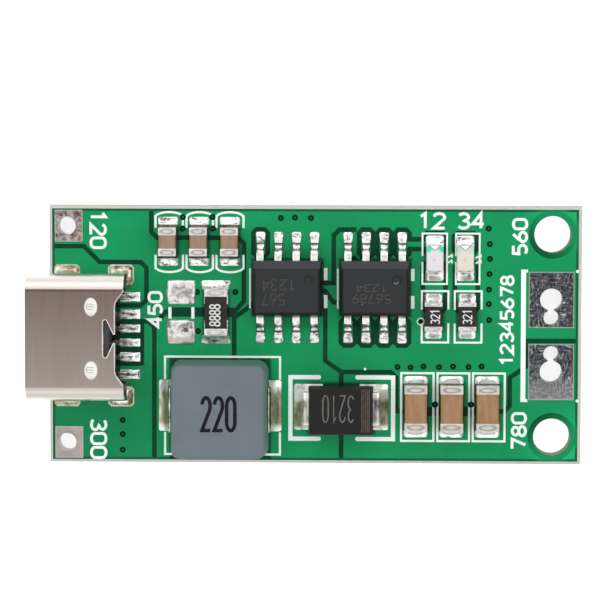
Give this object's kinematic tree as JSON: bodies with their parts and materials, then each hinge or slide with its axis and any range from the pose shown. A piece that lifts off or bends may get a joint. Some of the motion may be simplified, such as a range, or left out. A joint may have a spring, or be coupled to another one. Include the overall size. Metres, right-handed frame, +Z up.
{
  "type": "lithium battery charger module",
  "caption": "Small green circuit board with a USB-C receptacle, power inductor, diode, driver packages, chip components, plated wire pads and mounting holes.",
  "frame": {"origin": "middle of the board's underside", "axes": "+X along the board from the receptacle to the battery pads, +Y across it, +Z up through the components"},
  "size_m": [0.039, 0.0184, 0.0048],
  "materials": {
    "laminate": "glass-epoxy laminate under green solder mask, pale snapped edges",
    "masked_copper": "copper pours under glossy green solder mask",
    "tinned_land": "mottled hot-air tinned lands",
    "solder": "bright reflowed solder",
    "port_steel": "folded nickel-plated steel",
    "port_insulator": "black moulded polymer",
    "contact_metal": "tin and gold plated contact strip",
    "package_moulding": "charcoal moulded epoxy with a fine grain",
    "lead_metal": "tin-plated lead frame",
    "diode_moulding": "black moulded epoxy",
    "inductor_core": "blue-grey pressed powder core",
    "capacitor_ceramic": "brown fired ceramic",
    "chip_plating": "matt tin-plated chip ends",
    "resistor_substrate": "fired alumina",
    "resistor_coating": "black protective coat",
    "lamp_base": "white laminate base",
    "lamp_lens": "milky clear resin"
  },
  "bodies": {
    "root": {"chip_solder": "solder", "circuit_board": "laminate", "contact_solder": "solder", "controller_leads": "lead_metal", "controller_package": "package_moulding", "copper_ground": "masked_copper", "copper_input": "masked_copper", "copper_output": "masked_copper", "copper_sense": "masked_copper", "copper_shell": "masked_copper", "copper_signal": "masked_copper", "copper_switch": "masked_copper", "diode_anode_lead": "lead_metal", "diode_body": "diode_moulding", "diode_cathode_lead": "lead_metal", "inductor_body": "inductor_core", "inductor_left_terminal": "lead_metal", "inductor_right_terminal": "lead_metal", "input_capacitor_1": "capacitor_ceramic", "input_capacitor_1_ends": "chip_plating", "input_capacitor_2": "capacitor_ceramic", "input_capacitor_2_ends": "chip_plating", "input_capacitor_3": "capacitor_ceramic", "input_capacitor_3_ends": "chip_plating", "input_minus_land": "tinned_land", "input_plus_land": "tinned_land", "lamp_1_base": "lamp_base", "lamp_1_ends": "chip_plating", "lamp_1_lens": "lamp_lens", "lamp_2_base": "lamp_base", "lamp_2_ends": "chip_plating", "lamp_2_lens": "lamp_lens", "lamp_resistor_1_coating": "resistor_coating", "lamp_resistor_1_ends": "chip_plating", "lamp_resistor_1_substrate": "resistor_substrate", "lamp_resistor_2_coating": "resistor_coating", "lamp_resistor_2_ends": "chip_plating", "lamp_resistor_2_substrate": "resistor_substrate", "lead_solder": "solder", "output_capacitor_1": "capacitor_ceramic", "output_capacitor_1_ends": "chip_plating", "output_capacitor_2": "capacitor_ceramic", "output_capacitor_2_ends": "chip_plating", "output_capacitor_3": "capacitor_ceramic", "output_capacitor_3_ends": "chip_plating", "output_minus_land": "tinned_land", "output_plus_land": "tinned_land", "port_slot_lands": "tinned_land", "power_solder": "solder", "sense_resistor_coating": "resistor_coating", "sense_resistor_ends": "chip_plating", "sense_resistor_substrate": "resistor_substrate", "shell_solder": "solder", "spare_resistor_lands": "tinned_land", "switch_leads": "lead_metal", "switch_package": "package_moulding", "usb_contacts": "contact_metal", "usb_insulator": "port_insulator", "usb_mid_plate": "port_steel", "usb_shell": "port_steel"}
  },
  "joints": []
}
